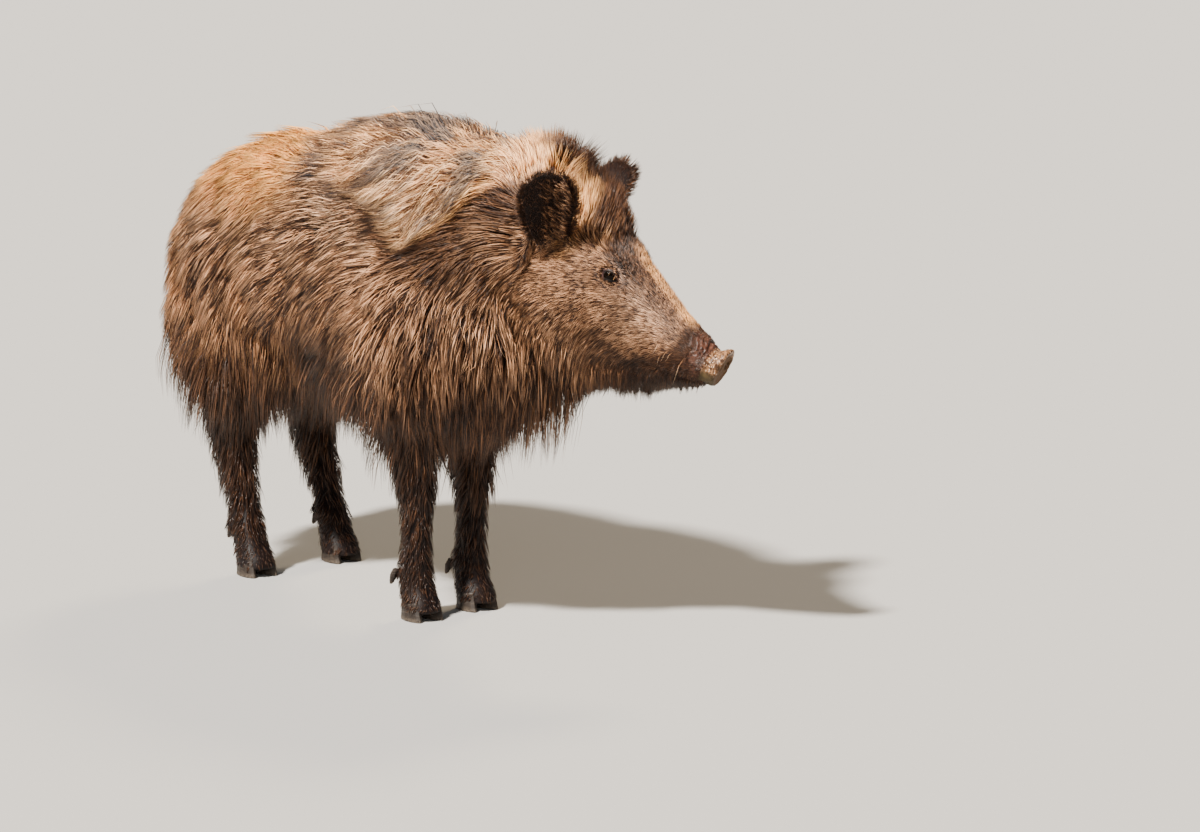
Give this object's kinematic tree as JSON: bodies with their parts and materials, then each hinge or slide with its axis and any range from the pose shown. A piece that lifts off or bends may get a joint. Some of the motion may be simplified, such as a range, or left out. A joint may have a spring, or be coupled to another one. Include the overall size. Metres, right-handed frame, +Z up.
{
  "type": "wild boar figure",
  "caption": "Wild boar in a shaggy winter coat, standing square with its head turned to its left: a still, life-size animal figure.",
  "frame": {"origin": "middle of the whole animal's box in plan, on the floor that its claws stand on", "axes": "+X the way the trunk faces, +Y the animal's left, +Z up; the head is turned 33 degrees to its left"},
  "size_m": [1.1854, 0.4114, 0.7896],
  "materials": {
    "coat": "long coarse brown bristles over a soft dark underwool, with paler tips along the back",
    "dark_coat": "short black-brown hair on the ears and the tail",
    "snout": "damp bare skin with a film of dried mud",
    "horn": "dull dark horn",
    "eye": "wet, almost black"
  },
  "bodies": {
    "root": {"ear_left": "dark_coat", "ear_right": "dark_coat", "eye_left": "eye", "eye_right": "eye", "foreleg_left": "coat", "foreleg_left_claw_inner": "horn", "foreleg_left_claw_outer": "horn", "foreleg_left_dewclaw_inner": "horn", "foreleg_left_dewclaw_outer": "horn", "foreleg_right": "coat", "foreleg_right_claw_inner": "horn", "foreleg_right_claw_outer": "horn", "foreleg_right_dewclaw_inner": "horn", "foreleg_right_dewclaw_outer": "horn", "head": "coat", "hindleg_left": "coat", "hindleg_left_claw_inner": "horn", "hindleg_left_claw_outer": "horn", "hindleg_left_dewclaw_inner": "horn", "hindleg_left_dewclaw_outer": "horn", "hindleg_right": "coat", "hindleg_right_claw_inner": "horn", "hindleg_right_claw_outer": "horn", "hindleg_right_dewclaw_inner": "horn", "hindleg_right_dewclaw_outer": "horn", "neck": "coat", "snout_disc": "snout", "tail": "dark_coat", "trunk": "coat"}
  },
  "joints": []
}
